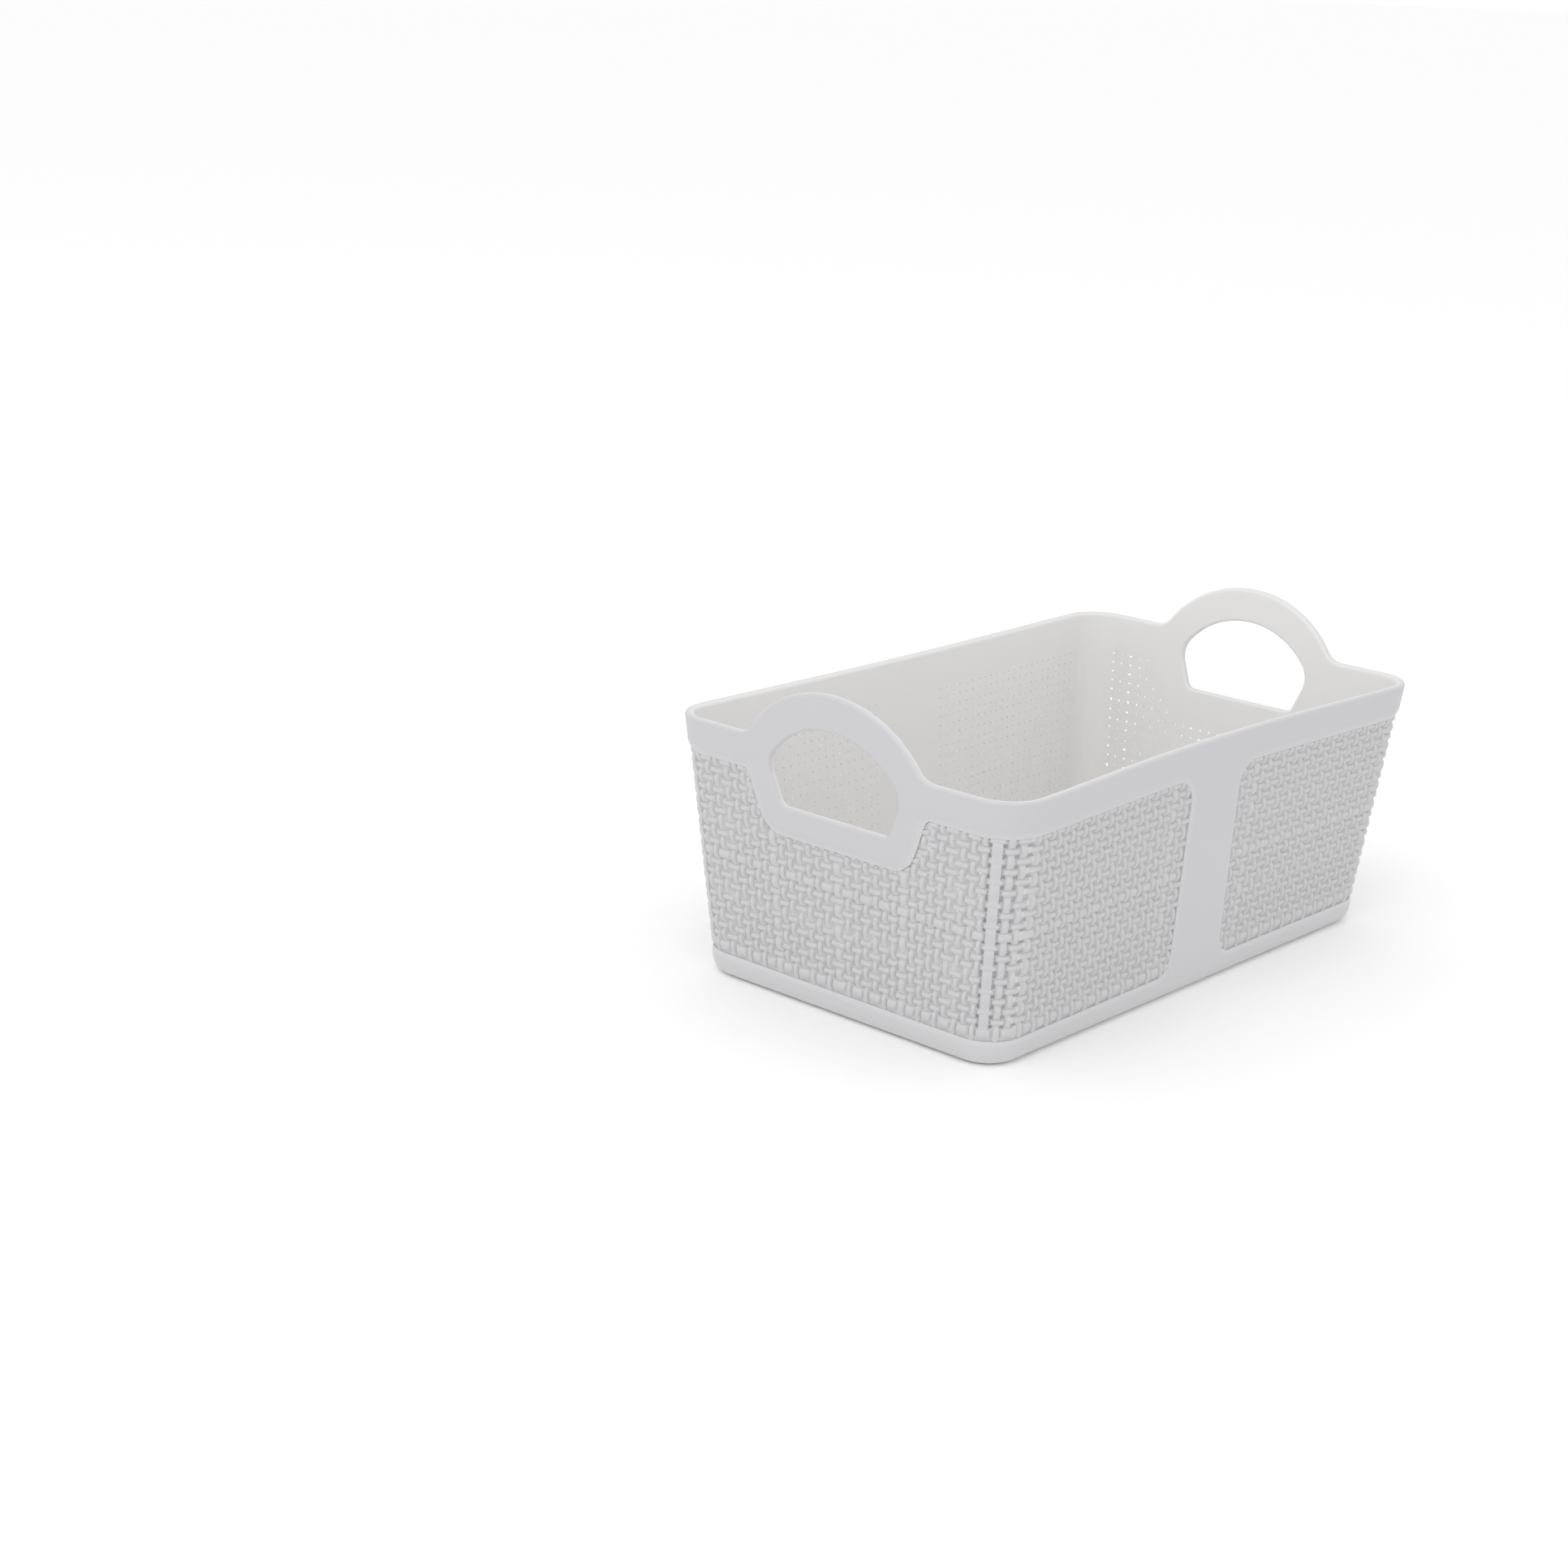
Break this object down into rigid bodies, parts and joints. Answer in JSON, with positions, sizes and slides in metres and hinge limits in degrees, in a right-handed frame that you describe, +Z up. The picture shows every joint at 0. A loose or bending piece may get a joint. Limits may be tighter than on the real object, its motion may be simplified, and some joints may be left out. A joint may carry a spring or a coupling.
{
  "type": "storage basket",
  "caption": "Small moulded woven-look plastic storage basket, open on top, with a finger-loop handle rising from each end.",
  "frame": {"origin": "middle of the flat base, on the surface the basket stands on", "axes": "+X along the basket from one handle to the other, +Y across it towards the back, +Z up out of the open top"},
  "size_m": [0.2414, 0.1442, 0.1099],
  "materials": {
    "smooth_plastic": "satin, fine moulded texture",
    "woven_plastic": "satin, moulded plain weave"
  },
  "bodies": {
    "root": {"floor_panel": "smooth_plastic", "curb_front": "smooth_plastic", "centre_strip_front": "smooth_plastic", "rim_front": "smooth_plastic", "curb_back": "smooth_plastic", "centre_strip_back": "smooth_plastic", "rim_back": "smooth_plastic", "curb_left": "smooth_plastic", "handle_left": "smooth_plastic", "curb_corner_front_left": "smooth_plastic", "rim_corner_front_left": "smooth_plastic", "curb_corner_back_left": "smooth_plastic", "rim_corner_back_left": "smooth_plastic", "curb_right": "smooth_plastic", "handle_right": "smooth_plastic", "curb_corner_front_right": "smooth_plastic", "rim_corner_front_right": "smooth_plastic", "curb_corner_back_right": "smooth_plastic", "rim_corner_back_right": "smooth_plastic", "woven_front_left": "woven_plastic", "woven_front_right": "woven_plastic", "woven_back_left": "woven_plastic", "woven_back_right": "woven_plastic", "woven_left": "woven_plastic", "woven_corner_front_left": "woven_plastic", "woven_corner_back_left": "woven_plastic", "woven_right": "woven_plastic", "woven_corner_front_right": "woven_plastic", "woven_corner_back_right": "woven_plastic"}
  },
  "joints": []
}
